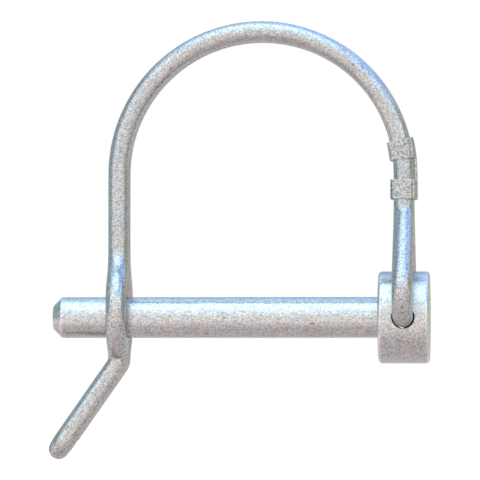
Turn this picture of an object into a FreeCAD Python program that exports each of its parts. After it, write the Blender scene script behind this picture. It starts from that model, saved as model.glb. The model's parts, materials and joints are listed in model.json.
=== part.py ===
"""A round wire-lock pin: a shank with a collar head, and a double-wire spring bail that hinges in the head
and snaps round the shank near its tip. A folded sheet clip holds the two wires of the bail together.

Frame: the origin is on the shank's axis where it leaves the head. The shank runs to -X, the bail arches
over it in +Z, and the bail's hinge axis lies along Y. Lengths are in millimetres, angles in degrees.
"""

import FreeCAD, Part
import math
import os
import re

import Sketcher

Vector = FreeCAD.Vector

DRIVING_SIZES = [
    ("pin_diameter", 6.35, "shank, a quarter inch"),
    ("pin_length", 50.8, "shank under the head, two inches"),
    ("tip_chamfer", 1.35, "lead-in on the shank's tip"),
    ("tip_overhang", 10.28, "centre of the wires that grip the shank to its tip"),
    ("head_diameter", 14.3, "collar head, nine sixteenths of an inch"),
    ("head_length", 7.94, "collar head along the shank, five sixteenths of an inch"),
    ("head_rim_radius", 0.6, "rounding of the collar's two rims"),
    ("spigot_step", 0.425, "radial step from the shank to its end inside the collar"),
    ("spigot_chamfer", 0.3, "outer end of the spigot"),
    ("shoulder_relief", 0.075, "how far the collar's bore opens past the shank at its mouths"),
    ("wire_diameter", 3.175, "bail wire, an eighth of an inch"),
    ("pivot_clearance", 0.15, "radial play of a wire end in the cross hole"),
    ("pivot_end_gap", 1.2, "between the two wire ends inside the head"),
    ("head_side_clearance", 0.15, "head surface to the start of a leg's bend"),
    ("leg_bend_radius", 4.1, "wire centreline, where a leg turns into the head"),
    ("fork_bend_radius", 3.0, "wire centreline, where the two legs part"),
    ("fork_below_clip", 2.05, "from the clip's lower edge to where the two legs part"),
    ("strand_gap", 0.06, "between the two wires side by side"),
    ("arch_height", 22.3, "height of the arch's centre over the axis"),
    ("loop_clearance", 1.72, "straddling arc's radius over that of the shank, less the wire's"),
    ("loop_lift", 1.0, "centre of the straddling arc over the shank's axis"),
    ("loop_rise", 0.62, "from the straddling arc's top to where the wires part"),
    ("loop_bend_radius", 6.0, "wire centreline, where the wires part for the shank"),
    ("closing_drop", 0.02, "from the straddling arc's bottom to where the wires meet again"),
    ("crease_radius", 0.1, "inside of the two sharp bends, where the wires meet and at the tail's corner"),
    ("crease_run", 0.02, "straight wire between those two bends"),
    ("tail_length", 16.55, "from the tail's corner to the middle of its closed end"),
    ("tail_angle", 35.0, "tail from straight down, away from the head"),
    ("tail_gap", 0.3, "between the two wires of the tail"),
    ("flex_margin", 0.6, "straight wire kept at the top of the bail's flexing end"),
    ("clip_thickness", 0.42, "sheet of the clip"),
    ("clip_fold_radius", 0.4, "inner radius of the clip's folds"),
    ("clip_clearance", 0.05, "wires to the clip"),
    ("clip_below_arch", 3.95, "from the arch's start down to the clip's lower edge"),
    ("clip_band_height", 3.0, "each of the clip's two bands, along the wires"),
    ("clip_band_gap", 3.2, "between the clip's two bands, along the wires"),
    ("clip_spine_width", 2.8, "strip that joins the two bands"),
    ("clip_seam_gap", 0.5, "between the folded edges of a band"),
]

# sizes that follow from the driving ones, each written as an expression
FOLLOWING_SIZES = {
    "pin_radius": "pin_diameter / 2",
    "wire_radius": "wire_diameter / 2",
    "spigot_diameter": "pin_diameter - 2 * spigot_step",
    "bore_chamfer": "spigot_step + shoulder_relief",
    "cross_hole_diameter": "wire_diameter + 2 * pivot_clearance",
    "pivot_x": "head_length / 2",
    "snap_x": "tip_overhang - pin_length",
    "arch_radius": "(pivot_x - snap_x) / 2",
    "arch_x": "(pivot_x + snap_x) / 2",
    "strand_y": "(wire_diameter + strand_gap) / 2",
    "clip_bottom": "arch_height - clip_below_arch",
    "fork_height": "clip_bottom - fork_below_clip",
    "tail_y": "tail_gap / 2 + wire_radius",
    "sharp_bend_radius": "crease_radius + wire_radius",
    "clip_inner_half": "wire_radius + clip_clearance",
    "clip_outer_half": "clip_inner_half + clip_thickness",
    "clip_reach": "2 * clip_outer_half",
    "window_angle": "(clip_band_height + clip_band_gap - clip_below_arch) / arch_radius * 180 / pi",
    "clip_angle": "window_angle + clip_band_height / arch_radius * 180 / pi",
}

DRIVING_NAMES = {name for name, _, _ in DRIVING_SIZES}

doc = FreeCAD.newDocument("wire_lock_pin")
sheet = doc.addObject("Spreadsheet::Sheet", "Sizes")
for row, (name, amount, note) in enumerate(DRIVING_SIZES, start=1):
    sheet.set(f"A{row}", name)
    sheet.set(f"B{row}", str(amount))
    sheet.setAlias(f"B{row}", name)
    sheet.set(f"C{row}", note)
doc.recompute()


def expression(text):
    """Writes a size, or a sum of sizes, by the sheet's cells, as setExpression takes it."""

    def written(match):
        word = match.group()
        if word in FOLLOWING_SIZES:
            return f"({expression(FOLLOWING_SIZES[word])})"
        return f"Sizes.{word}" if word in DRIVING_NAMES else word

    return re.sub("[a-z_]+", written, text)


def size(text):
    """The present value of a size or a sum of sizes."""
    return float(sheet.evalExpression(expression(text)))


# sketches: what a constraint calls the points of an edge, and the sketch's own origin
START, END, CENTRE = 1, 2, 3
ORIGIN = -1


def add_body(label):
    body = doc.addObject("PartDesign::Body", label)
    body.Label = label
    return body


def add_sketch(body, plane, name, place=None):
    """A sketch on one of the body's own origin planes. place gives its offset, by axis of that plane."""
    sketch = body.newObject("Sketcher::SketchObject", name)
    origin_plane = next(feature for feature in body.Origin.OriginFeatures if feature.Role == plane)
    sketch.AttachmentSupport = [(origin_plane, "")]
    sketch.MapMode = "FlatFace"
    for axis, text in (place or {}).items():
        sketch.setExpression(f"AttachmentOffset.Base.{axis}", expression(text))
    return sketch


def bind(sketch, kind, edge, *rest):
    """Adds a constraint whose value follows the size or sum given last."""
    text = rest[-1]
    index = sketch.addConstraint(Sketcher.Constraint(kind, edge, *rest[:-1], size(text)))
    sketch.setExpression(f"Constraints[{index}]", expression(text))


def place_point(sketch, edge, point, across, up):
    """Ties one point of an edge to two distances from the sketch's origin."""
    bind(sketch, "DistanceX", ORIGIN, START, edge, point, across)
    bind(sketch, "DistanceY", ORIGIN, START, edge, point, up)


def draw_circle(sketch, diameter, across=None):
    """A circle centred on the sketch's origin, or to one side of it on its horizontal axis."""
    middle = Vector(size(across), 0, 0) if across else Vector()
    circle = sketch.addGeometry(Part.Circle(middle, Vector(0, 0, 1), size(diameter) / 2))
    if across:
        sketch.addConstraint(Sketcher.Constraint("PointOnObject", circle, CENTRE, ORIGIN))
        bind(sketch, "DistanceX", ORIGIN, START, circle, CENTRE, across)
    else:
        sketch.addConstraint(Sketcher.Constraint("Coincident", circle, CENTRE, ORIGIN, START))
    bind(sketch, "Diameter", circle, diameter)


def draw_polygon(sketch, corners):
    """A closed outline through corners given as pairs of sizes, across and up."""
    points = [Vector(size(across), size(up), 0) for across, up in corners]
    edges = [
        sketch.addGeometry(Part.LineSegment(point, points[(number + 1) % len(points)]))
        for number, point in enumerate(points)
    ]
    for number, edge in enumerate(edges):
        following = edges[(number + 1) % len(edges)]
        sketch.addConstraint(Sketcher.Constraint("Coincident", edge, END, following, START))
        place_point(sketch, edge, START, *corners[number])


def draw_rounded_rectangle(sketch, across, half_width, half_depth, corner_radius):
    """A rectangle with round corners, centred on the sketch's horizontal axis."""
    middle, width, depth, bow = (size(text) for text in (across, half_width, half_depth, corner_radius))
    normal = Vector(0, 0, 1)
    corners = [(1, 1), (-1, 1), (-1, -1), (1, -1)]
    edges = []
    for number, (side, end) in enumerate(corners):
        centre = Vector(middle + side * (width - bow), end * (depth - bow), 0)
        from_angle = number * math.pi / 2
        corner = Part.ArcOfCircle(Part.Circle(centre, normal, bow), from_angle, from_angle + math.pi / 2)
        edges.append(sketch.addGeometry(corner))
        next_side, next_end = corners[(number + 1) % len(corners)]
        following = Vector(middle + next_side * (width - bow), next_end * (depth - bow), 0)
        outward = Vector(-math.sin(from_angle), math.cos(from_angle), 0) * bow
        edges.append(sketch.addGeometry(Part.LineSegment(centre + outward, following + outward)))
    for number, edge in enumerate(edges):
        following = edges[(number + 1) % len(edges)]
        sketch.addConstraint(Sketcher.Constraint("Tangent", edge, END, following, START))
    for edge, (side, end) in zip(edges[::2], corners):
        out = f"{across} + ({side}) * ({half_width} - ({corner_radius}))"
        place_point(sketch, edge, CENTRE, out, f"({end}) * ({half_depth} - ({corner_radius}))")
        bind(sketch, "Radius", edge, corner_radius)


def add_feature(body, kind, name, sketch, **settings):
    """A Pad, Pocket or Revolution of a sketch. A setting given as text is bound to that size."""
    feature = body.newObject(f"PartDesign::{kind}", name)
    feature.Profile = sketch
    for setting, amount in settings.items():
        if setting in ("Length", "Angle"):
            feature.setExpression(setting, expression(amount))
        else:
            setattr(feature, setting, amount)
    body.Tip = feature
    doc.recompute()
    return feature


def add_dressup(body, kind, name, base, setting, amount, chosen):
    """A Fillet or Chamfer on the edges of base for which chosen is true."""
    edges = [f"Edge{number}" for number, edge in enumerate(base.Shape.Edges, start=1) if chosen(edge)]
    feature = body.newObject(f"PartDesign::{kind}", name)
    feature.Base = (base, edges)
    feature.setExpression(setting, expression(amount))
    body.Tip = feature
    doc.recompute()
    return feature


def is_rim(edge, diameter, along):
    """Whether an edge is a full circle of this diameter round X, at this place along it."""
    curve = edge.Curve
    if not isinstance(curve, Part.Circle) or not edge.isClosed():
        return False
    near = 1e-4
    return abs(curve.Radius - size(diameter) / 2) < near and abs(curve.Center.x - size(along)) < near


def add_cross_hole(body):
    """The hole along Y that the two ends of the bail turn in."""
    sketch = add_sketch(body, "XZ_Plane", f"{body.Label}_cross_hole_outline")
    draw_circle(sketch, "cross_hole_diameter", across="pivot_x")
    add_feature(
        body, "Pocket", f"{body.Label}_cross_hole", sketch, Length="head_diameter * 2", SideType="Symmetric"
    )


def make_shank():
    """The straight pin, with a tapered tip and a reduced end for the collar."""
    body = add_body("shank")
    section = add_sketch(body, "YZ_Plane", "shank_section")
    draw_circle(section, "pin_diameter")
    pin = add_feature(body, "Pad", "shank_length", section, Length="pin_length", Reversed=True)
    tip = lambda edge: is_rim(edge, "pin_diameter", "0 - pin_length")
    add_dressup(body, "Chamfer", "shank_tip", pin, "Size", "tip_chamfer", tip)
    spigot_section = add_sketch(body, "YZ_Plane", "spigot_section")
    draw_circle(spigot_section, "spigot_diameter")
    spigot = add_feature(body, "Pad", "spigot", spigot_section, Length="head_length")
    spigot_end = lambda edge: is_rim(edge, "spigot_diameter", "head_length")
    add_dressup(body, "Chamfer", "spigot_end", spigot, "Size", "spigot_chamfer", spigot_end)
    add_cross_hole(body)
    return body


def make_head_collar():
    """The round head, pressed on the end of the shank and cross-drilled with it."""
    body = add_body("head_collar")
    section = add_sketch(body, "YZ_Plane", "collar_section")
    draw_circle(section, "head_diameter")
    draw_circle(section, "spigot_diameter")
    ring = add_feature(body, "Pad", "collar_length", section, Length="head_length")
    ends = ("0", "head_length")
    rims = lambda edge: any(is_rim(edge, "head_diameter", end) for end in ends)
    rounded = add_dressup(body, "Fillet", "collar_rims", ring, "Radius", "head_rim_radius", rims)
    mouths = lambda edge: any(is_rim(edge, "spigot_diameter", end) for end in ends)
    add_dressup(body, "Chamfer", "bore_mouths", rounded, "Size", "bore_chamfer", mouths)
    add_cross_hole(body)
    return body


def make_clip():
    """The folded sheet that wraps both wires in two bands, joined by a strip on the bail's outer side."""
    body = add_body("clip")
    arch_centre = {"x": "arch_x", "z": "arch_height"}

    def add_along_wires(name, outline):
        """Carries a section down the straight leg and up round the arch."""
        add_feature(body, "Pad", f"{name}_on_leg", outline, Length="clip_below_arch", Reversed=True)
        arch_axis = (outline, ["V_Axis"])
        add_feature(
            body, "Revolution", f"{name}_on_arch", outline,
            ReferenceAxis=arch_axis, Angle="clip_angle", Reversed=True,
        )

    sleeve = add_sketch(body, "XY_Plane", "sleeve_section", arch_centre)
    outside = ("clip_outer_half", "clip_fold_radius + clip_thickness")
    inside = ("clip_inner_half", "clip_fold_radius")
    for half, fold_radius in (outside, inside):
        draw_rounded_rectangle(sleeve, "arch_radius", half, f"strand_y + {half}", fold_radius)
    add_along_wires("sleeve", sleeve)

    inner, outer = "arch_radius - clip_reach", "arch_radius + clip_reach"
    window_bottom = "clip_bottom + clip_band_height"
    window = add_sketch(body, "XZ_Plane", "window_outline")
    draw_polygon(window, [
        (f"arch_x + {inner}", window_bottom),
        (f"arch_x + {outer}", window_bottom),
        (f"arch_x + ({outer}) * cos(window_angle)", f"arch_height + ({outer}) * sin(window_angle)"),
        (f"arch_x + ({inner}) * cos(window_angle)", f"arch_height + ({inner}) * sin(window_angle)"),
    ])
    add_feature(body, "Pocket", "window", window, Length="head_diameter", SideType="Symmetric")

    seam = add_sketch(body, "XZ_Plane", "seam_outline")
    draw_polygon(seam, [
        (f"arch_x + {inner}", "clip_bottom - clip_band_height"),
        ("pivot_x", "clip_bottom - clip_band_height"),
        ("pivot_x", "arch_height"),
        ("arch_x + arch_radius * cos(2 * clip_angle)", "arch_height + arch_radius * sin(2 * clip_angle)"),
        (f"arch_x + ({inner}) * cos(2 * clip_angle)", "arch_height + arch_radius * sin(2 * clip_angle)"),
    ])
    add_feature(body, "Pocket", "seam", seam, Length="clip_seam_gap", SideType="Symmetric")

    spine = add_sketch(body, "XY_Plane", "spine_section", arch_centre)
    half_width = "clip_spine_width / 2"
    draw_polygon(spine, [
        ("arch_radius + clip_inner_half", f"0 - {half_width}"),
        ("arch_radius + clip_outer_half", f"0 - {half_width}"),
        ("arch_radius + clip_outer_half", half_width),
        ("arch_radius + clip_inner_half", half_width),
    ])
    add_along_wires("spine", spine)
    return body


class Route:
    """A wire's centreline: straight runs joined by tangent arcs."""

    def __init__(self, start):
        self.here = start
        self.edges = []

    def line_to(self, point):
        self.edges.append(Part.LineSegment(self.here, point).toShape())
        self.here = point

    def arc_to(self, middle, end):
        self.edges.append(Part.Arc(self.here, middle, end).toShape())
        self.here = end

    def turn(self, corner, target, radius):
        """Runs towards a corner and bends there towards target."""
        back = (self.here - corner).normalize()
        ahead = (target - corner).normalize()
        half_turn = (math.pi - back.getAngle(ahead)) / 2
        setback = radius * math.tan(half_turn)
        inward = (back + ahead).normalize()
        centre = corner + inward * (radius / math.cos(half_turn))
        self.line_to(corner + back * setback)
        self.arc_to(centre - inward * radius, corner + ahead * setback)


def touch_angle(half_spacing, height, radius):
    """Angle over the axis at which a line from (half_spacing, height) touches a circle round the axis."""
    return math.atan2(height, half_spacing) - math.acos(radius / math.hypot(half_spacing, height))


def leg_corner():
    """How far out a leg's slope meets the hinge axis, so that its bend starts just outside the head."""
    bend = size("leg_bend_radius")
    out = size("head_diameter / 2 + head_side_clearance - strand_y")
    up = size("fork_height") - bend
    slope = math.atan2(out, up) + math.asin(bend / math.hypot(out, up))
    return size("strand_y") + size("fork_height") * math.tan(slope)


def loop_radius():
    return size("pin_radius + loop_clearance + wire_radius")


def loop_angles():
    """Angles over and under the straddling arc's centre where it begins and ends."""
    radius = loop_radius()
    upper = touch_angle(size("strand_y"), radius + size("loop_rise"), radius)
    lower = touch_angle(size("tail_y"), radius + size("closing_drop"), radius)
    return upper, lower


def flex_height():
    """Height over the axis where the bail's flexing end begins, on straight wire."""
    upper, _ = loop_angles()
    setback = size("loop_bend_radius") * math.tan(upper / 2)
    return size("loop_lift") + loop_radius() + size("loop_rise + flex_margin") + setback


def strand_edges(side):
    """One wire from the hinge, up its leg, over the arch and down to the flexing end."""
    pivot_x, snap_x, strand_y = size("pivot_x"), size("snap_x"), side * size("strand_y")
    arch_height, fork_height = size("arch_height"), size("fork_height")
    fork = Vector(pivot_x, strand_y, fork_height)
    route = Route(Vector(pivot_x, side * size("pivot_end_gap / 2"), 0))
    route.turn(Vector(pivot_x, side * leg_corner(), 0), fork, size("leg_bend_radius"))
    route.turn(fork, Vector(pivot_x, strand_y, arch_height), size("fork_bend_radius"))
    route.line_to(Vector(pivot_x, strand_y, arch_height))
    top = Vector(size("arch_x"), strand_y, arch_height + size("arch_radius"))
    route.arc_to(top, Vector(snap_x, strand_y, arch_height))
    route.line_to(Vector(snap_x, strand_y, flex_height()))
    return route.edges


def snap_edges():
    """The flexing end: down past the shank on one side, round the closed end and up on the other."""
    snap_x, strand_y, tail_y = size("snap_x"), size("strand_y"), size("tail_y")
    radius, lift, sharp = loop_radius(), size("loop_lift"), size("sharp_bend_radius")
    upper, lower = loop_angles()

    def on_loop(angle):
        return Vector(snap_x, radius * math.cos(angle), lift + radius * math.sin(angle))

    tail_angle = math.radians(size("tail_angle"))
    along_tail = Vector(-math.sin(tail_angle), 0, -math.cos(tail_angle))
    parting = Vector(snap_x, strand_y, lift + radius + size("loop_rise"))
    meeting = Vector(snap_x, tail_y, lift - radius - size("closing_drop"))
    drop = sharp * (math.tan(lower / 2) + math.tan(tail_angle / 2)) + size("crease_run")
    corner = meeting - Vector(0, 0, drop)
    closed_end = corner + along_tail * (size("tail_length") - tail_y)

    route = Route(Vector(snap_x, strand_y, flex_height()))
    route.turn(parting, on_loop(upper), size("loop_bend_radius"))
    route.line_to(on_loop(upper))
    route.arc_to(on_loop((upper - lower) / 2), on_loop(-lower))
    route.turn(meeting, corner, sharp)
    route.turn(corner, closed_end, sharp)
    route.line_to(closed_end)
    one_side = list(route.edges)
    other_side = [edge.mirror(Vector(), Vector(0, 1, 0)) for edge in reversed(one_side)]
    across_end = Vector(closed_end.x, -closed_end.y, closed_end.z)
    route.arc_to(closed_end + along_tail * tail_y - Vector(0, tail_y, 0), across_end)
    return route.edges + other_side


def sweep_wire(name, edges):
    """A round wire along a centreline."""
    path = doc.addObject("Part::Feature", f"{name}_centreline")
    path.Shape = Part.Wire(edges)
    first = path.Shape.Edges[0]
    section = doc.addObject("Part::Circle", f"{name}_section")
    section.setExpression("Radius", expression("wire_radius"))
    start_direction = first.tangentAt(first.FirstParameter)
    section.Placement = FreeCAD.Placement(
        first.valueAt(first.FirstParameter), FreeCAD.Rotation(Vector(0, 0, 1), start_direction)
    )
    wire = doc.addObject("Part::Sweep", name)
    wire.Label = name
    wire.Sections = [section]
    wire.Spine = (path, [f"Edge{number}" for number in range(1, len(path.Shape.Edges) + 1)])
    wire.Solid = True
    wire.Frenet = False
    doc.recompute()
    wanted = math.pi * size("wire_radius") ** 2 * path.Shape.Length
    allowed = 0.001 * wanted
    if abs(wire.Shape.Volume - wanted) > allowed:
        raise RuntimeError(f"{name} holds {wire.Shape.Volume:.2f} cubic mm, not {wanted:.2f}")
    return wire


def make_bail_wire():
    """The bail's two legs and arch, as two wires side by side."""
    strands = [sweep_wire("front_strand", strand_edges(-1)), sweep_wire("rear_strand", strand_edges(1))]
    bail = doc.addObject("Part::Compound", "bail_wire")
    bail.Label = "bail_wire"
    bail.Links = strands
    return bail


def write_parts(pieces):
    """Checks the whole document, then writes each piece to its own file."""
    doc.recompute()
    for item in doc.Objects:
        if {"Invalid", "Error"} & set(item.State):
            raise RuntimeError(f"{item.Label} failed: {item.State}")
    for piece in pieces:
        if piece.Shape.isNull() or not piece.Shape.isValid() or not piece.Shape.Solids:
            raise RuntimeError(f"{piece.Label} has no valid solid")
    os.makedirs("parts", exist_ok=True)
    for piece in pieces:
        piece.Shape.exportStep(f"parts/{piece.Label}.step")
        print(f"{piece.Label}: {len(piece.Shape.Solids)} solid(s), {piece.Shape.Volume:.2f} cubic mm")


shank = make_shank()
head_collar = make_head_collar()
bail_wire = make_bail_wire()
bail_snap_end = sweep_wire("bail_snap_end", snap_edges())
clip = make_clip()
write_parts([shank, head_collar, bail_wire, bail_snap_end, clip])
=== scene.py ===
import json
import math

import bmesh
import bpy
from mathutils import Matrix, Vector


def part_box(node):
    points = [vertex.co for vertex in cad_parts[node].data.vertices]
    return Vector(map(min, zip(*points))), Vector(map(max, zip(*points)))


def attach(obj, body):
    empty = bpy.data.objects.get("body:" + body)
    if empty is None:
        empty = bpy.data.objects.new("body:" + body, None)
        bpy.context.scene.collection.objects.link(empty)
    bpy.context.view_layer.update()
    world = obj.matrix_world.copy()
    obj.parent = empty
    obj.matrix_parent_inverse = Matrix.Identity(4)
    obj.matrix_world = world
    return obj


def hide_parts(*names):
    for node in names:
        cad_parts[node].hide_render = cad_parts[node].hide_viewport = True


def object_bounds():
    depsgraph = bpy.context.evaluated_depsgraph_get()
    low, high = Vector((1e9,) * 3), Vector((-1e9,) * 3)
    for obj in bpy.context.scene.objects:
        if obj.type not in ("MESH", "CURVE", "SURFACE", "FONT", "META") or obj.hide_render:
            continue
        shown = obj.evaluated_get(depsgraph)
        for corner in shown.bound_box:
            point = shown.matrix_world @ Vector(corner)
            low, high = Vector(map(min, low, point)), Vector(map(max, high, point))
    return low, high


# A round wire-lock pin: a shank with a pressed collar head, and a double-wire bail that hinges in
# the head and snaps round the shank, its two wires held by a folded clip. Metres, +Z up, the shank
# along -X from the head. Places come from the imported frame; what is set here is finish and small form.

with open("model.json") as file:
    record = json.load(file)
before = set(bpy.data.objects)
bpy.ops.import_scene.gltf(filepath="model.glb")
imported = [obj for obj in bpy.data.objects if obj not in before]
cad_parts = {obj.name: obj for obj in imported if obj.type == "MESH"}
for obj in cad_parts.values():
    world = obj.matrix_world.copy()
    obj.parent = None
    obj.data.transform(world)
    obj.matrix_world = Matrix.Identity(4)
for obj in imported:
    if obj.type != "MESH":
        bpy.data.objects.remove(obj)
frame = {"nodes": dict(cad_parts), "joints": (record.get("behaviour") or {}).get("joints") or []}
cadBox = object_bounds()
mm = 0.001
tiny = 1e-9     # less than any real size

hinge = frame["joints"][0]
pivot = Vector(hinge["pos_m"])
boxOf = {node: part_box(node) for node in frame["nodes"]}
print("frame loaded:", ", ".join(sorted(boxOf)))


class Amount:
    # one number in a node tree; sums on it add Math nodes
    def __init__(self, tree, socket):
        self.tree = tree
        self.socket = socket

    def maths(self, operation, *others):
        inputs = dict(enumerate((self,) + others))
        return self.tree.amount("ShaderNodeMath", {"operation": operation}, inputs)

    def __add__(self, other):
        return self.maths("ADD", other)

    def __mul__(self, other):
        return self.maths("MULTIPLY", other)

    def __sub__(self, other):
        return self.maths("SUBTRACT", other)

    def __pow__(self, other):
        return self.maths("POWER", other)

    def __rsub__(self, other):
        return self.tree.amount("ShaderNodeMath", {"operation": "SUBTRACT"}, {0: other, 1: self})

    __radd__ = __add__
    __rmul__ = __mul__

    def between(self, low, high):
        # 0 under low, 1 over high, smooth in between
        sockets = {"Value": self, "From Min": low, "From Max": high}
        settings = {"interpolation_type": "SMOOTHSTEP"}
        return self.tree.amount("ShaderNodeMapRange", settings, sockets)


class ShaderTree:
    def __init__(self, tree):
        self.tree = tree
        tree.nodes.clear()

    def node(self, kind, settings=None, sockets=None):
        made = self.tree.nodes.new(kind)
        for name, value in (settings or {}).items():
            setattr(made, name, value)
        for name, value in (sockets or {}).items():
            if isinstance(value, Amount):
                value = value.socket
            if isinstance(value, bpy.types.NodeSocket):
                self.tree.links.new(value, made.inputs[name])
            else:
                made.inputs[name].default_value = value
        return made

    def amount(self, kind, settings=None, sockets=None, output=0):
        return Amount(self, self.node(kind, settings, sockets).outputs[output])

    def vector(self, operation, first, second=(0, 0, 0), output="Vector"):
        sockets = {0: first, 1: second}
        return self.node("ShaderNodeVectorMath", {"operation": operation}, sockets).outputs[output]

    def noise(self, place, scale, detail=2.0, roughness=0.5):
        sockets = {"Vector": place, "Scale": scale, "Detail": detail, "Roughness": roughness}
        return self.amount("ShaderNodeTexNoise", {"normalize": True}, sockets, "Fac")

    def mixColour(self, share, first, second, blend="MIX"):
        settings = {"data_type": "RGBA", "blend_type": blend}
        return self.node("ShaderNodeMix", settings, {0: share, 6: first, 7: second}).outputs[2]


def paint(red, green, blue):
    # a screen colour, 0 to 255, as the linear colour that a shader takes
    def linear(part):
        part /= 255
        return part / 12.92 if part <= 0.04045 else ((part + 0.055) / 1.055) ** 2.4
    return (linear(red), linear(green), linear(blue), 1.0)


def zincFinish(name, finish):
    # zinc plate on steel: fine crystals, cloudy tint, drawn or turned lines, short scratches, bright
    # worn edges; place follows the wire where there is one, spot is always where the point is
    made = bpy.data.materials.new(name)
    made.use_nodes = True
    tree = ShaderTree(made.node_tree)
    place = spot = tree.node("ShaderNodeTexCoord").outputs["Object"]
    if finish["followsWire"]:
        ring = tree.node("ShaderNodeAttribute", {"attribute_name": "ringPlace"}).outputs["Vector"]
        along = tree.node("ShaderNodeAttribute", {"attribute_name": "alongWire"}).outputs["Fac"]
        place = tree.vector("ADD", ring, tree.node("ShaderNodeCombineXYZ", None, {"Z": along}).outputs[0])

    def cells(stretch, scale):
        sockets = {"Vector": tree.vector("MULTIPLY", place, stretch), "Scale": scale}
        found = tree.node("ShaderNodeTexVoronoi", {"feature": "F1"}, sockets).outputs
        lots = tree.node("ShaderNodeSeparateColor", None, {0: found["Color"]}).outputs
        return Amount(tree, found["Distance"]), Amount(tree, lots[0])

    crystalEdge, crystal = cells(finish["crystalStretch"], finish["crystalScale"])
    fine = tree.noise(place, finish["crystalScale"] * finish["fineScale"], 2.0, 0.7)
    cloud = tree.noise(place, finish["cloudScale"], 3.0, 0.55)
    drawn = tree.vector("MULTIPLY", place, finish["lineStretch"])
    lines = tree.noise(drawn, finish["lineScale"], 2.0, 0.6)
    scratchSpan, scratchLot = cells(finish["scratchStretch"], finish["scratchScale"])
    scratch = 1 - scratchSpan.between(*finish["scratchEdge"])
    scratch = scratch * scratchLot.between(finish["scratchFrom"], 1.0)

    share = finish["crystalShare"]
    speckle = crystal * share + fine.between(0.25, 0.75) * (1 - share)
    tint = tree.mixColour(cloud.between(0.35, 0.65), paint(*finish["cool"]), paint(*finish["warm"]))
    shade = (finish["crystalDepth"],) * 3 + (1.0,)
    base = tree.mixColour(speckle, tree.mixColour(1.0, tint, shade, "MULTIPLY"), tint)
    darkLines = lines.between(*finish["lineEdge"]) * finish["lineDarkness"]
    base = tree.mixColour(darkLines, base, paint(*finish["lineColour"]))
    base = tree.mixColour(scratch * finish["scratchDarkness"], base, paint(*finish["scratchColour"]))
    smoothest = finish["roughness"] - finish["roughSpread"] / 2
    rough = crystal * finish["roughSpread"] + (cloud - 0.5) * finish["cloudRough"] + smoothest
    parts = tree.node("ShaderNodeSeparateXYZ", None, {0: spot}).outputs
    x, y, z = (Amount(tree, part) for part in parts)
    if finish["wornEdges"]:
        out = (y * y + z * z).maths("SQRT")
        worn = None
        for edgeX, edgeOut in finish["wornEdges"]:
            gap = ((x - edgeX) ** 2 + (out - edgeOut) ** 2).maths("SQRT")
            near = 1 - gap.between(finish["wornCore"], finish["wornReach"])
            worn = near if worn is None else worn.maths("MAXIMUM", near)
        worn = worn * (cloud * 0.6 + fine * 0.7).between(0.45, 0.8)
        base = tree.mixColour(worn * finish["wornShare"], base, paint(*finish["wornColour"]))
        rough = rough - worn * finish["wornPolish"]
    metal = 1.0
    if finish["darkHole"]:
        # painted shade: near-black, rough, non-metal colour in the cross hole round the hinge, where the gap
        # lies in shade
        fromHinge = ((x - pivot.x) ** 2 + z * z).maths("SQRT")
        shadedHole = 1 - fromHinge.between(finish["darkHole"], finish["darkHole"] + finish["darkHoleSoft"])
        depth = finish["darkHoleWithin"]
        shadedHole = shadedHole * (1 - y.maths("ABSOLUTE").between(depth - finish["darkHoleSoft"], depth))
        base = tree.mixColour(shadedHole, base, paint(*finish["holeShadeColour"]))
        rough = rough + shadedHole * finish["holeShadeRough"]
        metal = 1 - shadedHole
    if finish["fold"]:
        # painted shade: a dark line where the sheet starts to turn round the wires, for the shaded fold and
        # gap there
        archX, archZ, arch, half = finish["fold"]
        fromArch = ((x - archX) ** 2 + (z - archZ).maths("MAXIMUM", 0.0) ** 2).maths("SQRT")
        fromFold = (fromArch - arch - half).maths("ABSOLUTE")
        crease = (1 - fromFold.between(finish["foldCore"], finish["foldReach"])) * finish["foldShadeDarkness"]
        base = tree.mixColour(crease, base, paint(*finish["foldShadeColour"]))
    height = crystalEdge * -finish["crystalHeight"] + fine * finish["crystalHeight"]
    height = height + lines * finish["lineHeight"] - scratch * finish["scratchDepth"]
    bump = tree.node("ShaderNodeBump", None, {"Strength": 1.0, "Distance": 1.0, "Height": height})
    shader = tree.node("ShaderNodeBsdfPrincipled", None, {
        "Base Color": base, "Metallic": metal, "Roughness": rough, "Normal": bump.outputs[0],
    })
    tree.node("ShaderNodeOutputMaterial", None, {"Surface": shader.outputs[0]})
    return made


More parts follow.
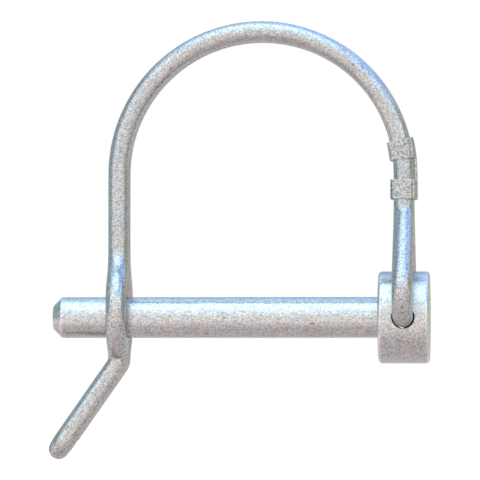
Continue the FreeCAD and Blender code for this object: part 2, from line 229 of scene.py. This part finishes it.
commonFinish = {
    "followsWire": False,
    "crystalScale": 6200.0,             # crystals near a sixth of a millimetre
    "crystalStretch": (0.7, 1.0, 1.0),
    "crystalDepth": 0.34,
    "crystalHeight": 0.006 * mm,
    "crystalShare": 0.6,                # of the speckle; the rest is the fine grain between them
    "fineScale": 0.8,                   # against the crystals' scale
    "cloudScale": 320.0,
    "cloudRough": 0.04,
    "cool": (227, 230, 233),
    "warm": (231, 230, 228),
    "lineStretch": (0.05, 1.0, 1.0),
    "lineScale": 3800.0,
    "lineHeight": 0.003 * mm,
    "lineEdge": (0.56, 0.74),
    "lineDarkness": 0.25,
    "lineColour": (120, 122, 124),
    "scratchStretch": (0.2, 1.0, 1.0),
    "scratchScale": 1500.0,
    "scratchFrom": 0.45,
    "scratchEdge": (0.09, 0.17),
    "scratchDarkness": 0.8,
    "scratchColour": (40, 44, 46),
    "scratchDepth": 0.02 * mm,
    "roughness": 0.25,
    "roughSpread": 0.08,
    "wornEdges": [],                    # each is a round edge's x and radius
    "wornCore": 0.1 * mm,
    "wornReach": 0.6 * mm,
    "wornShare": 0.7,
    "wornColour": (232, 234, 236),
    "wornPolish": 0.08,
    "darkHole": 0.0,                    # radius round the hinge painted near-black as shade in the cross hole
    "darkHoleSoft": 0.10 * mm,
    "darkHoleWithin": 20.0 * mm,        # and how far out from the middle
    "holeShadeColour": (34, 35, 36),
    "holeShadeRough": 0.6,
    "fold": None,                       # arch's centre x and z, its radius, how far outside it the fold is; a dark line of painted shade goes there
    "foldCore": 0.04 * mm,
    "foldReach": 0.14 * mm,
    "foldShadeDarkness": 0.6,
    "foldShadeColour": (52, 58, 62),
}


def link(item):
    bpy.context.scene.collection.objects.link(item)
    return item


def smoothPiece(piece, sharpAngle=40.0):
    for face in piece.data.polygons:
        face.use_smooth = True
    piece.data.set_sharp_from_angle(angle=math.radians(sharpAngle))
    return piece


def addPiece(name, mesh, body, material, replaced):
    piece = link(bpy.data.objects.new(name, mesh))
    mesh.materials.clear()
    mesh.materials.append(material)
    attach(piece, body)
    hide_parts(*replaced)
    print(f"{name}: {len(mesh.polygons)} faces")
    return piece


def arcPoints(centre, radius, fromAngle, toAngle, steps):
    # points on an arc in the (along, out) plane, angles in degrees
    turns = [math.radians(fromAngle + (toAngle - fromAngle) * step / steps) for step in range(steps + 1)]
    return [(centre[0] + radius * math.cos(turn), centre[1] + radius * math.sin(turn)) for turn in turns]


def rowOf(first, last, steps):
    # the points between two profile points, without the ends
    return [tuple(a + (b - a) * step / steps for a, b in zip(first, last)) for step in range(1, steps)]


def turned(name, profile, segments, closed):
    # a solid of revolution round X; the profile goes from pole to pole, or round a ring's section
    made = bmesh.new()
    turns = [2 * math.pi * step / segments for step in range(segments)]
    rings = []
    for x, out in profile:
        if out < tiny:
            rings.append([made.verts.new((x, 0, 0))] * segments)
        else:
            rings.append([made.verts.new((x, out * math.cos(turn), out * math.sin(turn))) for turn in turns])
    pairs = list(zip(rings, rings[1:])) + ([(rings[-1], rings[0])] if closed else [])
    for first, second in pairs:
        for here in range(segments):
            there = (here + 1) % segments
            corners = [first[here], first[there], second[there], second[here]]
            made.faces.new(list(dict.fromkeys(corners)))
    bmesh.ops.recalc_face_normals(made, faces=made.faces)
    mesh = bpy.data.meshes.new(name)
    made.to_mesh(mesh)
    made.free()
    return mesh


def crossDrilled(mesh, radius, reach, sides=96):
    # the mesh with a hole along Y through the hinge
    cutter = turned("cutter", [(-reach, 0), (-reach, radius), (reach, radius), (reach, 0)], sides, False)
    cutter.transform(Matrix.Translation(pivot) @ Matrix.Rotation(math.pi / 2, 4, "Z"))
    tool = link(bpy.data.objects.new("cutter", cutter))
    blank = link(bpy.data.objects.new("blank", mesh))
    cut = blank.modifiers.new("crossHole", "BOOLEAN")
    cut.operation, cut.solver, cut.object = "DIFFERENCE", "EXACT", tool
    graph = bpy.context.evaluated_depsgraph_get()
    made = bpy.data.meshes.new_from_object(blank.evaluated_get(graph), depsgraph=graph)
    for item in (tool, blank):
        bpy.data.objects.remove(item)
    sliver = 0.001 * mm     # the cut leaves slivers thinner than this
    clean = bmesh.new()
    clean.from_mesh(made)
    bmesh.ops.remove_doubles(clean, verts=clean.verts, dist=sliver)
    bmesh.ops.dissolve_degenerate(clean, edges=clean.edges, dist=sliver / 10)
    clean.to_mesh(made)
    clean.free()
    return made


shankForm = {
    "segments": 192,
    "tipChamfer": 1.35 * mm,
    "edgeRound": 0.10 * mm,     # softened edge of the tip's chamfer
    "spigotRadius": 2.75 * mm,
    "spigotChamfer": 0.3 * mm,
    "holeRadius": 1.7375 * mm,
    "rowLength": 1.0 * mm,
    "tipRows": 6,
    "spigotRows": 10,
}


def buildShank():
    form = shankForm
    low, high = boxOf["shank"]
    radius, tip, end = high.z, low.x, high.x
    chamfer, soft, slope = form["tipChamfer"], form["edgeRound"], math.radians(45)
    lift = soft * math.tan(slope / 2)
    face = arcPoints((tip + soft, radius - chamfer - lift), soft, 180, 135, 4)
    shoulder = arcPoints((tip + chamfer + lift, radius - soft), soft, 135, 90, 4)
    rows = max(2, round((0 - shoulder[-1][0]) / form["rowLength"]))
    spigot = form["spigotRadius"]
    spigotEnd = end - form["spigotChamfer"]
    profile = [(tip, 0)] + rowOf((tip, 0), face[0], form["tipRows"]) + face
    profile += rowOf(face[-1], shoulder[0], form["tipRows"]) + shoulder
    profile += rowOf(shoulder[-1], (0, radius), rows) + [(0, radius), (0, spigot)]
    profile += rowOf((0, spigot), (spigotEnd, spigot), form["spigotRows"])
    profile += [(spigotEnd, spigot), (end, spigot - form["spigotChamfer"])]
    profile += rowOf(profile[-1], (end, 0), form["tipRows"]) + [(end, 0)]
    solid = turned("shank", profile, form["segments"], False)
    mesh = crossDrilled(solid, form["holeRadius"], radius * 2)
    finish = dict(commonFinish)
    finish["wornEdges"] = [(tip, radius - chamfer), (tip + chamfer, radius)]
    material = zincFinish("zincOnDrawnBar", finish)
    piece = addPiece("pinShank", mesh, "pin", material, ["shank"])
    return smoothPiece(piece)


collarForm = {
    "segments": 256,
    "rimRadius": 0.6 * mm,
    "boreRadius": 2.75 * mm,
    "mouthChamfer": 0.5 * mm,
    "holeRadius": 1.7375 * mm,
    "faceRows": 8,
    "wallRows": 12,
    "boreRows": 6,
}


def buildCollar():
    form = collarForm
    low, high = boxOf["head_collar"]
    start, end, radius = low.x, high.x, high.z
    rim, bore, mouth = form["rimRadius"], form["boreRadius"], form["mouthChamfer"]
    left = arcPoints((start + rim, radius - rim), rim, 180, 90, 10)
    right = arcPoints((end - rim, radius - rim), rim, 90, 0, 10)
    profile = [(start, bore + mouth)] + rowOf((start, bore + mouth), left[0], form["faceRows"]) + left
    profile += rowOf(left[-1], right[0], form["wallRows"]) + right
    profile += rowOf(right[-1], (end, bore + mouth), form["faceRows"])
    profile += [(end, bore + mouth), (end - mouth, bore)]
    profile += rowOf((end - mouth, bore), (start + mouth, bore), form["boreRows"]) + [(start + mouth, bore)]
    solid = turned("collar", profile, form["segments"], True)
    mesh = crossDrilled(solid, form["holeRadius"], radius * 2)
    finish = dict(commonFinish)
    finish.update(crystalStretch=(1.0, 0.8, 0.8), lineStretch=(1.0, 0.08, 0.08),
                  scratchStretch=(1.0, 0.4, 0.4), scratchFrom=0.6,
                  # painted shade: near-black in the cross hole round the hinge
                  darkHole=form["holeRadius"] + 0.04 * mm,
                  wornEdges=[(start + rim / 4, radius - rim / 4), (end - rim / 4, radius - rim / 4)])
    material = zincFinish("zincOnTurnedCollar", finish)
    piece = addPiece("headCollar", mesh, "pin", material, ["head_collar"])
    return smoothPiece(piece)


# the bail is one wire, from inside the head over the arch, round the shank and back
bailForm = {
    "endGap": 1.2 * mm,         # between the wire's two ends inside the head
    "headClearance": 0.15 * mm,
    "legBend": 4.1 * mm,
    "forkBend": 3.0 * mm,
    "forkBelowClip": 2.05 * mm,
    "strandGap": 0.06 * mm,
    "loopClearance": 1.72 * mm,
    "loopLift": 1.0 * mm,       # centre of the straddling arc over the shank's axis
    "loopRise": 0.62 * mm,
    "loopBend": 6.0 * mm,
    "closingDrop": 0.02 * mm,   # from the straddling arc's bottom to where the wires meet again
    "creaseRadius": 0.1 * mm,   # inside of the two sharp bends under the shank
    "creaseRun": 0.02 * mm,
    "tailLength": 16.55 * mm,
    "tailAngle": 35.0,
    "tailGap": 0.3 * mm,
    "sides": 40,
    "bendPoints": 64,
    "spacing": 0.42 * mm,
    "wobble": 0.012 * mm,       # how uneven the drawn wire's skin is
    "wobbleScale": 330.0,
    "seed": 7.0,
}


def touchAngle(halfSpacing, height, radius):
    # angle over the axis at which a line from (halfSpacing, height) touches a circle round it
    return math.atan2(height, halfSpacing) - math.acos(radius / math.hypot(halfSpacing, height))


def bailCorners(form):
    # the wire's corners from one end to the closed tail, each with the radius of its bend
    wireLow, wireHigh = boxOf["bail_wire"]
    wire = wireHigh.x - pivot.x
    snapX = wireLow.x + wire
    strand = wire + form["strandGap"] / 2
    top = wireHigh.z - wire
    arch = (pivot.x - snapX) / 2
    fork = boxOf["clip"][0].z - form["forkBelowClip"]
    headRadius = boxOf["head_collar"][1].z
    out, up = headRadius + form["headClearance"] - strand, fork - form["legBend"]
    slope = math.atan2(out, up) + math.asin(form["legBend"] / math.hypot(out, up))
    legY = strand + fork * math.tan(slope)
    loop = boxOf["shank"][1].z + form["loopClearance"] + wire
    lift = form["loopLift"]
    tailY = form["tailGap"] / 2 + wire
    upper = touchAngle(strand, loop + form["loopRise"], loop)
    lower = touchAngle(tailY, loop + form["closingDrop"], loop)
    loopReach = loop / math.cos((upper + lower) / 2)
    loopTurn = (upper - lower) / 2
    lean = math.radians(form["tailAngle"])
    sharp = form["creaseRadius"] + wire
    meeting = lift - loop - form["closingDrop"]
    crease = meeting - form["creaseRun"] - sharp * (math.tan(lower / 2) + math.tan(lean / 2))
    tailX = snapX - math.sin(lean) * form["tailLength"]
    tailZ = crease - math.cos(lean) * form["tailLength"]
    return wire, [
        ((pivot.x, form["endGap"] / 2, 0), 0),
        ((pivot.x, legY, 0), form["legBend"]),
        ((pivot.x, strand, fork), form["forkBend"]),
        ((pivot.x, strand, top), arch),
        ((snapX, strand, top), arch),
        ((snapX, strand, lift + loop + form["loopRise"]), form["loopBend"]),
        ((snapX, loopReach * math.cos(loopTurn), lift + loopReach * math.sin(loopTurn)), loop),
        ((snapX, tailY, meeting), sharp),
        ((snapX, tailY, crease), sharp),
        ((tailX, tailY, tailZ), tailY),
    ]


def wireTree():
    # corners with a bendRadius become a round wire; sizes are the modifier's own inputs
    tree = bpy.data.node_groups.new("bentWire", "GeometryNodeTree")
    face = tree.interface
    kinds = {
        "Geometry": "Geometry", "Wire Radius": "Float", "Sides": "Int", "Bend Points": "Int",
        "Spacing": "Float", "Wobble": "Float", "Wobble Scale": "Float", "Seed": "Float",
        "Material": "Material",
    }
    for name, kind in kinds.items():
        face.new_socket(name, in_out="INPUT", socket_type="NodeSocket" + kind)
    face.new_socket("Geometry", in_out="OUTPUT", socket_type="NodeSocketGeometry")
    maker = ShaderTree(tree)
    inputs = maker.node("NodeGroupInput").outputs
    bend = maker.node("GeometryNodeInputNamedAttribute", {"data_type": "FLOAT"}, {"Name": "bendRadius"})
    curve = maker.node("GeometryNodeMeshToCurve", None, {"Mesh": inputs["Geometry"]})
    rounded = maker.node("GeometryNodeFilletCurve", {"mode": "POLY"}, {
        "Curve": curve.outputs[0], "Count": inputs["Bend Points"],
        "Radius": bend.outputs["Attribute"], "Limit Radius": True,
    })
    even = maker.node("GeometryNodeResampleCurve", {"mode": "LENGTH"},
                      {"Curve": rounded.outputs[0], "Length": inputs["Spacing"]})
    travelled = maker.node("GeometryNodeSplineParameter")
    marked = maker.node("GeometryNodeStoreNamedAttribute", {"data_type": "FLOAT", "domain": "POINT"}, {
        "Geometry": even.outputs[0], "Name": "alongWire", "Value": travelled.outputs["Length"],
    })
    circle = maker.node("GeometryNodeCurvePrimitiveCircle", None,
                        {"Resolution": inputs["Sides"], "Radius": inputs["Wire Radius"]})
    spot = maker.node("GeometryNodeInputPosition")
    ring = maker.node("GeometryNodeStoreNamedAttribute", {"data_type": "FLOAT_VECTOR", "domain": "POINT"}, {
        "Geometry": circle.outputs[0], "Name": "ringPlace", "Value": spot.outputs[0],
    })
    tube = maker.node("GeometryNodeCurveToMesh", None, {
        "Curve": marked.outputs[0], "Profile Curve": ring.outputs[0], "Fill Caps": True,
    })
    uneven = maker.node("ShaderNodeTexNoise", {"noise_dimensions": "4D"}, {
        "Scale": inputs["Wobble Scale"], "Detail": 1.0, "Vector": spot.outputs[0], "W": inputs["Seed"],
    })
    lift = (Amount(maker, uneven.outputs["Fac"]) - 0.5) * 2 * Amount(maker, inputs["Wobble"])
    normal = maker.node("GeometryNodeInputNormal")
    offset = maker.node("ShaderNodeVectorMath", {"operation": "SCALE"},
                        {0: normal.outputs[0], "Scale": lift})
    moved = maker.node("GeometryNodeSetPosition", None,
                       {"Geometry": tube.outputs[0], "Offset": offset.outputs[0]})
    smooth = maker.node("GeometryNodeSetShadeSmooth", None, {"Geometry": moved.outputs[0]})
    real = maker.node("GeometryNodeRealizeInstances", None, {"Geometry": smooth.outputs[0]})
    painted = maker.node("GeometryNodeSetMaterial", None,
                         {"Geometry": real.outputs[0], "Material": inputs["Material"]})
    maker.node("NodeGroupOutput", None, {"Geometry": painted.outputs[0]})
    return tree


def setInputs(modifier, values):
    # a modifier's inputs go by the identifiers of its tree's sockets
    for item in modifier.node_group.interface.items_tree:
        if item.in_out == "INPUT" and item.name in values:
            modifier[item.identifier] = values[item.name]


def buildBail():
    form = bailForm
    wire, corners = bailCorners(form)
    corners += [((x, -y, z), bend) for (x, y, z), bend in reversed(corners)]
    line = bpy.data.meshes.new("bailLine")
    line.from_pydata([place for place, _ in corners], [(n, n + 1) for n in range(len(corners) - 1)], [])
    bends = line.attributes.new("bendRadius", "FLOAT", "POINT")
    bends.data.foreach_set("value", [bend for _, bend in corners])
    route = link(bpy.data.objects.new("bailRoute", line))
    finish = dict(commonFinish)
    finish.update(followsWire=True, crystalScale=7200.0, crystalStretch=(1.0, 1.0, 1.0), crystalDepth=0.20,
                  # painted shade: the wire near-black where it sits in the head's cross hole
                  darkHole=wire + 0.1 * mm, darkHoleWithin=boxOf["head_collar"][1].z,
                  lineStretch=(1.0, 1.0, 0.05), scratchStretch=(1.0, 1.0, 0.25), scratchFrom=0.7)
    material = zincFinish("zincOnSpringWire", finish)
    maker = route.modifiers.new("wire", "NODES")
    maker.node_group = wireTree()
    setInputs(maker, {
        "Wire Radius": wire, "Sides": form["sides"], "Bend Points": form["bendPoints"],
        "Spacing": form["spacing"], "Wobble": form["wobble"], "Wobble Scale": form["wobbleScale"],
        "Seed": form["seed"], "Material": material,
    })
    graph = bpy.context.evaluated_depsgraph_get()
    mesh = bpy.data.meshes.new_from_object(route.evaluated_get(graph), depsgraph=graph)
    bpy.data.objects.remove(route)
    piece = addPiece("bailWire", mesh, "bail", material, ["bail_wire", "bail_snap_end"])
    return smoothPiece(piece, 50.0)


# the clip is one sheet, folded round both strands
clipForm = {
    "sheet": 0.42 * mm,
    "clearance": 0.05 * mm,
    "foldRadius": 0.4 * mm,
    "belowArch": 3.95 * mm,
    "bandHeight": 3.0 * mm,
    "bandGap": 3.2 * mm,
    "spineWidth": 2.8 * mm,
    "seamGap": 0.5 * mm,
    "cornerRound": 0.55 * mm,
    "edgeRound": 0.17 * mm,
    "foldLine": 1.36 * mm,      # from the wires' middle to the line where the sheet starts to fold, where painted shade goes
    "cell": 0.2 * mm,
}


def evenly(first, last, cell):
    steps = max(1, round(abs(last - first) / cell))
    return [first + (last - first) * step / steps for step in range(steps + 1)]


def buildClip():
    form = clipForm
    wireLow, wireHigh = boxOf["bail_wire"]
    wire = wireHigh.x - pivot.x
    snapX = wireLow.x + wire
    arch = (pivot.x - snapX) / 2
    archX = (pivot.x + snapX) / 2
    archZ = wireHigh.z - wire - arch
    strand = wire + bailForm["strandGap"] / 2
    halfX = wire + form["clearance"] + form["sheet"] / 2      # to the middle of the sheet
    halfY = strand + halfX
    fold = form["foldRadius"] + form["sheet"] / 2
    quarter = fold * math.pi / 2
    flatX, flatY = halfX - fold, halfY - fold

    # lengths round the section from the middle of the outer face, where the spine is
    outerEnd = flatY
    backStart = outerEnd + quarter
    backEnd = backStart + 2 * flatX
    innerStart = backEnd + quarter
    innerEnd = innerStart + flatY - form["seamGap"] / 2

    def section(around):
        # place (inward from the outer face, sideways) and normal, at a length round the section
        side, far = math.copysign(1, around), abs(around)
        if far <= outerEnd:
            return (halfX, far * side), (1, 0)
        if far <= backStart:
            turn = (far - outerEnd) / fold
            return ((flatX + fold * math.cos(turn), side * (flatY + fold * math.sin(turn))),
                    (math.cos(turn), side * math.sin(turn)))
        if far <= backEnd:
            return (flatX - (far - backStart), side * halfY), (0, side)
        if far <= innerStart:
            turn = (far - backEnd) / fold
            return ((-flatX - fold * math.sin(turn), side * (flatY + fold * math.cos(turn))),
                    (-math.sin(turn), side * math.cos(turn)))
        return (-halfX, side * (flatY - (far - innerStart))), (-1, 0)

    def place(around, along):
        # along is the height over the clip's lower edge, measured on the wires' centreline
        (out, side), _ = section(around)
        rise = along - form["belowArch"]
        if rise <= 0:
            return Vector((archX + arch + out, side, archZ + rise))
        turn = rise / arch
        reach = arch + out
        return Vector((archX + reach * math.cos(turn), side, archZ + reach * math.sin(turn)))

    cell, corner = form["cell"], form["cornerRound"]
    halfSpine = form["spineWidth"] / 2
    half = evenly(0, halfSpine, cell) + evenly(halfSpine, outerEnd, cell)[1:]
    half += evenly(outerEnd, backStart, cell / 2)[1:] + evenly(backStart, backEnd, cell)[1:]
    half += evenly(backEnd, innerStart, cell / 2)[1:] + evenly(innerStart, innerEnd - corner, cell)[1:]
    half += evenly(innerEnd - corner, innerEnd, corner / 4)[1:]
    columns = [-far for far in reversed(half[1:])] + half
    bandOne, windowEnd = form["bandHeight"], form["bandHeight"] + form["bandGap"]
    topEnd = windowEnd + form["bandHeight"]
    rows = []
    for low, high in ((0, bandOne), (windowEnd, topEnd)):
        band = evenly(low, low + corner, corner / 4) + evenly(low + corner, high - corner, cell)[1:]
        band += evenly(high - corner, high, corner / 4)[1:]
        rows.append(band)
    middleRows = evenly(bandOne, windowEnd, cell)

    made = bmesh.new()
    held = {}

    def vertex(around, along, low, high):
        # the four free corners of a band are rounded: a square of cells becomes a quarter disc
        key = (round(around / mm, 5), round(along / mm, 5))
        if key not in held:
            past = abs(around) - (innerEnd - corner)
            over = max(low + corner - along, along - (high - corner))
            if past > 0 and over > 0:
                a, b = past / corner, over / corner
                newPast, newOver = a * math.sqrt(1 - b * b / 2), b * math.sqrt(1 - a * a / 2)
                around = math.copysign(innerEnd - corner + newPast * corner, around)
                shift = (newOver - b) * corner
                along += shift if along > (low + high) / 2 else -shift
            held[key] = made.verts.new(place(around, along))
        return held[key]

    def patch(columnList, rowList, low, high):
        for left, right in zip(columnList, columnList[1:]):
            for down, up in zip(rowList, rowList[1:]):
                corners = ((left, down), (right, down), (right, up), (left, up))
                made.faces.new([vertex(around, along, low, high) for around, along in corners])

    patch(columns, rows[0], 0, bandOne)
    patch(columns, rows[1], windowEnd, topEnd)
    spineColumns = [around for around in columns if abs(around) <= halfSpine + tiny]
    patch(spineColumns, middleRows, bandOne, windowEnd)     # it has no free corners to round
    bmesh.ops.recalc_face_normals(made, faces=made.faces)
    # the open sheet's normals point outwards, away from the wires
    sample = max(made.faces, key=lambda face: face.calc_center_median().x)
    if sample.normal.x < 0:
        bmesh.ops.reverse_faces(made, faces=made.faces)
    mesh = bpy.data.meshes.new("clip")
    made.to_mesh(mesh)
    made.free()

    finish = dict(commonFinish)
    finish.update(crystalScale=5200.0, crystalStretch=(1.0, 1.0, 1.0), crystalDepth=0.15,
                  crystalHeight=0.012 * mm, lineHeight=0.0, lineDarkness=0.0,
                  scratchStretch=(1.0, 1.0, 1.0), scratchFrom=0.5,
                  cool=(218, 222, 225), warm=(223, 221, 217), roughness=0.30, roughSpread=0.12,
                  # painted shade along the line where the sheet starts to fold
                  fold=(archX, archZ, arch, form["foldLine"]))
    material = zincFinish("zincOnFoldedSheet", finish)
    piece = addPiece("wireClip", mesh, "bail", material, ["clip"])
    wall = piece.modifiers.new("sheet", "SOLIDIFY")
    wall.thickness, wall.offset, wall.use_even_offset = form["sheet"], 0.0, True
    edge = piece.modifiers.new("edges", "BEVEL")
    edge.width, edge.segments, edge.limit_method = form["edgeRound"], 4, "ANGLE"
    edge.angle_limit = math.radians(55)
    for face in mesh.polygons:
        face.use_smooth = True
    return piece


buildShank()
buildCollar()
buildBail()
buildClip()


studio = {
    "floorDrop": 60 * mm,
    "floorSize": 8.0,
    "azimuth": 3.632,
    "elevation": -1.510,
    "distance": 0.7408,
    "lens": 356.2,
    "turnAbout": (1.82 * mm, 0.0, 0.0),    # from the middle of the object
    "aim": (0.19 * mm, 0.0, 0.10 * mm),
    "lampTilt": (18, -22),
    "lampSpread": 70,
    "lampStrength": 2.6,
    "roomStrength": 2.14,
    "floorColour": (0.95, 0.95, 0.95, 1),
    # what the metal mirrors, as screen colours: a pale wall before it, darker sides, a lit ceiling
    # and a warm floor; angles are in degrees, round from -Y towards +X and up from level
    "wallFront": (196, 200, 203),
    "wallHigh": (222, 227, 231),
    "wallLeft": (132, 146, 151),
    "wallRight": (146, 148, 137),
    "skyRight": (160, 192, 240),
    "skyLeft": (166, 194, 228),
    "panel": (236, 264, 270),
    "panelTo": (-10, 66),
    "panelEdge": (12, 46),
    "floorNear": (208, 200, 196),
    "floorSide": (164, 160, 160),
    "floorUnder": (163, 155, 156),
    "sidesMeet": (-30, 30),
    "frontMiddle": 1,
    "frontEdge": (62, 78),
    "frontRise": (2, 30),
    "ceilingEdge": (26, 50),
    "ceilingTilt": 14,
    "nearMiddle": -25,
    "nearEdge": (30, 120),
    "floorFall": (-70, -5),
    "horizon": (-4, 4),
    "horizonTilt": 5,
}


def buildCamera():
    data = bpy.data.cameras.new("camera")
    data.lens, data.sensor_width = studio["lens"], 36.0
    data.clip_start, data.clip_end = 0.01, 20.0
    camera = link(bpy.data.objects.new("camera", data))
    middle = (cadBox[0] + cadBox[1]) / 2
    middle.y = 0
    across, up = math.radians(studio["azimuth"]), math.radians(studio["elevation"])
    away = Vector((math.sin(across) * math.cos(up), -math.cos(across) * math.cos(up), math.sin(up)))
    camera.location = middle + Vector(studio["turnAbout"]) + away * studio["distance"]
    look = middle + Vector(studio["aim"]) - camera.location
    camera.rotation_mode = "QUATERNION"
    camera.rotation_quaternion = look.to_track_quat("-Z", "Y")
    bpy.context.scene.camera = camera


def buildFloor():
    low, high = cadBox
    middle, half = (low + high) / 2, studio["floorSize"] / 2
    made = bmesh.new()
    bmesh.ops.create_grid(made, x_segments=8, y_segments=8, size=half)
    mesh = bpy.data.meshes.new("floor")
    made.to_mesh(mesh)
    made.free()
    mesh.transform(Matrix.Translation((middle.x, middle.y, low.z - studio["floorDrop"])))
    floor = link(bpy.data.objects.new("floor", mesh))
    material = bpy.data.materials.new("palePaper")
    material.use_nodes = True
    tree = ShaderTree(material.node_tree)
    shader = tree.node("ShaderNodeBsdfDiffuse", None, {"Color": studio["floorColour"]})
    tree.node("ShaderNodeOutputMaterial", None, {"Surface": shader.outputs[0]})
    mesh.materials.append(material)
    floor.visible_glossy = False


def buildLamp():
    data = bpy.data.lights.new("softLamp", "SUN")
    data.energy, data.angle = studio["lampStrength"], math.radians(studio["lampSpread"])
    lamp = link(bpy.data.objects.new("softLamp", data))
    lamp.rotation_euler = [math.radians(turn) for turn in studio["lampTilt"]] + [0]
    lamp.visible_glossy = False


def buildRoom():
    world = bpy.data.worlds.new("room")
    world.use_nodes = True
    bpy.context.scene.world = world
    tree = ShaderTree(world.node_tree)
    toSky = tree.node("ShaderNodeTexCoord").outputs["Generated"]
    parts = tree.node("ShaderNodeSeparateXYZ", None, {0: toSky}).outputs
    x, y, z = (Amount(tree, part) for part in parts)
    degree = 180 / math.pi
    height = z.maths("ARCSINE") * degree
    turn = x.maths("ARCTAN2", y * -1) * degree          # 0 at -Y, 90 at +X
    across, up = (math.radians(angle) for angle in studio["panelTo"])
    panel = (math.sin(across) * math.cos(up), -math.cos(across) * math.cos(up), math.sin(up))
    towards = Amount(tree, tree.vector("DOT_PRODUCT", toSky, panel, "Value"))
    fromPanel = towards.maths("ARCCOSINE") * degree

    colour = {name: paint(*studio[name]) for name in
              ("wallFront", "wallHigh", "wallLeft", "wallRight", "skyRight", "skyLeft", "panel",
               "floorNear", "floorSide", "floorUnder")}
    right = turn.between(*studio["sidesMeet"])
    sides = tree.mixColour(right, colour["wallLeft"], colour["wallRight"])
    front = 1 - (turn - studio["frontMiddle"]).maths("ABSOLUTE").between(*studio["frontEdge"])
    ahead = tree.mixColour(height.between(*studio["frontRise"]), colour["wallFront"], colour["wallHigh"])
    wall = tree.mixColour(front, sides, ahead)
    sky = tree.mixColour(right, colour["skyLeft"], colour["skyRight"])
    sky = tree.mixColour(1 - fromPanel.between(*studio["panelEdge"]), sky, colour["panel"])
    ceiling = (height + (right - 0.5) * studio["ceilingTilt"]).between(*studio["ceilingEdge"])
    upper = tree.mixColour(ceiling, wall, sky)
    near = (turn - studio["nearMiddle"]).maths("ABSOLUTE").between(*studio["nearEdge"])
    floor = tree.mixColour(near, colour["floorNear"], colour["floorSide"])
    floor = tree.mixColour(height.between(*studio["floorFall"]), colour["floorUnder"], floor)
    overFloor = height + (1 - right) * (1 - front) * studio["horizonTilt"]
    room = tree.mixColour(overFloor.between(*studio["horizon"]), floor, upper)
    mirrored = tree.node("ShaderNodeBackground", None,
                         {"Color": room, "Strength": studio["roomStrength"]})
    paper = tree.node("ShaderNodeBackground", None, {"Color": (1, 1, 1, 1), "Strength": 1.0})
    seen = tree.node("ShaderNodeLightPath").outputs["Is Camera Ray"]
    both = tree.node("ShaderNodeMixShader", None, {0: seen, 1: mirrored.outputs[0], 2: paper.outputs[0]})
    tree.node("ShaderNodeOutputWorld", None, {"Surface": both.outputs[0]})


buildCamera()
buildFloor()
buildLamp()
buildRoom()
bpy.context.scene.view_settings.view_transform = "Standard"

print("studio ready")
